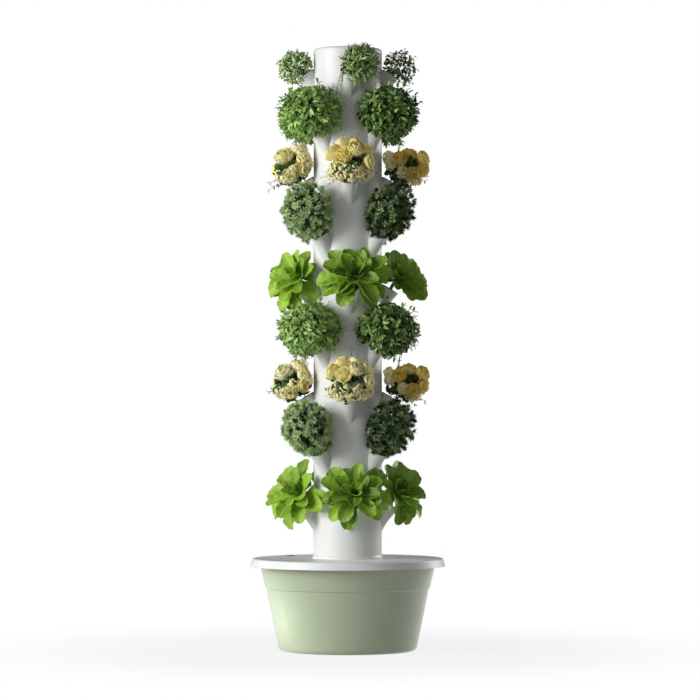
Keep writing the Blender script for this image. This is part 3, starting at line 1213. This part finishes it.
class TOWER_OT_build_studio(bpy.types.Operator):
    """Adds the floor, the lamps, the sky and the camera"""

    bl_idname = "tower.build_studio"
    bl_label = "Build studio"

    # Lamps that point at the tower's middle: name, place and size
    middle = (0, 0, 0.8)
    lamps = (("Key", (-3.05, -1.8, 1.5), 2.0), ("Front", (0.9, -4.2, 2.2), 2.2),
             ("Rim", (2.6, 1.9, 1.4), 1.4), ("Edge", (-2.9, 1.5, 1.2), 1.4))
    # Lamp with a narrow beam that lights the basin's left: place, aim, size and angle in degrees
    low_place = (-1.4, -0.8, 0.09)
    low_aim = (-0.05, 0, 0.09)
    low_size = 0.14
    low_spread = 9
    # Camera's sensor, in millimetres
    sensor = 36
    # Radii of the floor and of its inner face, and where its white starts and is full to the camera
    floor_radius = 16
    floor_inner = 2
    white_from, white_full = 0.3, 1.2

    def execute(self, context):
        look = context.scene.tower_studio
        self.add_floor()
        self.add_sky(context.scene, look)
        powers = (look.key_power, look.front_power, look.rim_power, look.edge_power)
        for (name, place, size), power in zip(self.lamps, powers):
            self.add_lamp(name, place, self.middle, size, power)
        self.add_lamp("Low", self.low_place, self.low_aim, self.low_size, look.low_power,
                      math.radians(self.low_spread))
        camera = bpy.data.cameras.new("Camera")
        camera.sensor_width = camera.sensor_height = self.sensor
        camera.lens = camera.sensor_width * look.distance / look.frame_height
        camera.clip_end = 100
        eye = bpy.data.objects.new("Camera", camera)
        context.collection.objects.link(eye)
        eye.location = (look.aim_side, -look.distance, look.eye_height)
        way = Vector((look.aim_side, 0, look.aim_height)) - eye.location
        eye.rotation_euler = way.to_track_quat("-Z", "Y").to_euler()
        context.scene.camera = eye
        context.scene.view_settings.view_transform = "Standard"
        return {"FINISHED"}

    def add_lamp(self, name, place, aim, size, power, spread=math.pi):
        """Adds a soft square lamp that points at its aim; its spread is the angle of its beam."""
        lamp = bpy.data.lights.new(name, "AREA")
        lamp.size, lamp.energy, lamp.spread = size, power, spread
        holder = bpy.data.objects.new(name, lamp)
        bpy.context.collection.objects.link(holder)
        holder.location = place
        holder.rotation_euler = (Vector(aim) - Vector(place)).to_track_quat("-Z", "Y").to_euler()

    def add_floor(self):
        """Adds a round pale floor. Far from the tower it is plain white to the camera, and near it
        it keeps the tower's shadow."""
        floor = open_primitive(bpy.ops.mesh.primitive_circle_add, vertices=96, radius=self.floor_radius,
                               fill_type="NGON")
        bpy.ops.mesh.inset(thickness=self.floor_radius - self.floor_inner)
        finish(floor)
        floor.name = "studio_floor"
        material = bpy.data.materials.new("studio_floor")
        material.use_nodes = True
        tree = material.node_tree
        tree.nodes.clear()
        place = add_node(tree, "ShaderNodeTexCoord").outputs["Object"]
        away = add_node(tree, "ShaderNodeVectorMath", {0: place}, operation="LENGTH").outputs["Value"]
        fade = add_node(tree, "ShaderNodeMapRange",
                        {"Value": away, "From Min": self.white_from, "From Max": self.white_full,
                         "To Min": 0.84, "To Max": 1.0},
                        interpolation_type="SMOOTHSTEP").outputs["Result"]
        rays = add_node(tree, "ShaderNodeLightPath")
        seen = add_node(tree, "ShaderNodeMath", {0: rays.outputs["Is Camera Ray"],
                                                 1: rays.outputs["Is Glossy Ray"]}, operation="MAXIMUM")
        seen = add_node(tree, "ShaderNodeMath", {0: seen.outputs[0],
                                                 1: rays.outputs["Is Transmission Ray"]}, operation="MAXIMUM")
        share = add_node(tree, "ShaderNodeMath", {0: seen.outputs[0], 1: fade}, operation="MULTIPLY")
        pale = add_node(tree, "ShaderNodeBsdfDiffuse", {"Color": linear("#CDCDCD")})
        white = add_node(tree, "ShaderNodeEmission", {"Color": (1, 1, 1, 1), "Strength": 1.0})
        mixed = add_node(tree, "ShaderNodeMixShader", {0: share.outputs[0], 1: pale.outputs[0],
                                                       2: white.outputs[0]})
        add_node(tree, "ShaderNodeOutputMaterial", {"Surface": mixed.outputs[0]})
        floor.data.materials.append(material)

    def add_sky(self, scene, look):
        """Lights the scene evenly from all round, with white for what the camera sees of it."""
        world = bpy.data.worlds.new("Studio")
        scene.world = world
        world.use_nodes = True
        tree = world.node_tree
        tree.nodes.clear()
        rays = add_node(tree, "ShaderNodeLightPath")
        seen = add_node(tree, "ShaderNodeMath", {0: rays.outputs["Is Camera Ray"],
                                                 1: rays.outputs["Is Transmission Ray"]}, operation="MAXIMUM")
        strength = add_node(tree, "ShaderNodeMapRange", {"Value": seen.outputs[0], "To Min": look.sky,
                                                         "To Max": 1.0})
        sky = add_node(tree, "ShaderNodeBackground", {"Color": (1, 1, 1, 1),
                                                      "Strength": strength.outputs["Result"]})
        add_node(tree, "ShaderNodeOutputWorld", {"Surface": sky.outputs[0]})


class TOWER_PT_looks(bpy.types.Panel):
    """Lists the steps that dress the tower"""

    bl_idname = "TOWER_PT_looks"
    bl_label = "Hydroponic tower"
    bl_space_type = "VIEW_3D"
    bl_region_type = "UI"
    bl_category = "Tower"

    def draw(self, context):
        for step in STEPS:
            self.layout.operator(step.bl_idname)


GROUPS = {"tower_places": TowerPlaces, "tower_shell": ShellFinish, "tower_lettuce": LettuceLook,
          "tower_dome": DomeLook, "tower_posy": PosyLook, "tower_bush": BushLook,
          "tower_herb": HerbLook, "tower_studio": StudioLook}
STEPS = (TOWER_OT_build_studio, TOWER_OT_finish_reservoir, TOWER_OT_finish_tower, TOWER_OT_finish_pump,
         TOWER_OT_plant_lettuces, TOWER_OT_plant_domes, TOWER_OT_plant_posies, TOWER_OT_plant_bushes,
         TOWER_OT_plant_herbs)


def register():
    """Registers the classes and hangs their settings on the scene."""
    for kind in (*GROUPS.values(), *STEPS, TOWER_PT_looks):
        bpy.utils.register_class(kind)
    for name, group in GROUPS.items():
        setattr(bpy.types.Scene, name, bpy.props.PointerProperty(type=group))


def unregister():
    """Takes back what register() added."""
    for name in GROUPS:
        delattr(bpy.types.Scene, name)
    for kind in reversed((*GROUPS.values(), *STEPS, TOWER_PT_looks)):
        bpy.utils.unregister_class(kind)


def main():
    """Dresses the tower, step by step, and notes its size before and after."""
    register()
    for step in STEPS:
        area, name = step.bl_idname.split(".")
        getattr(getattr(bpy.ops, area), name)()


if __name__ == "__main__":
    main()
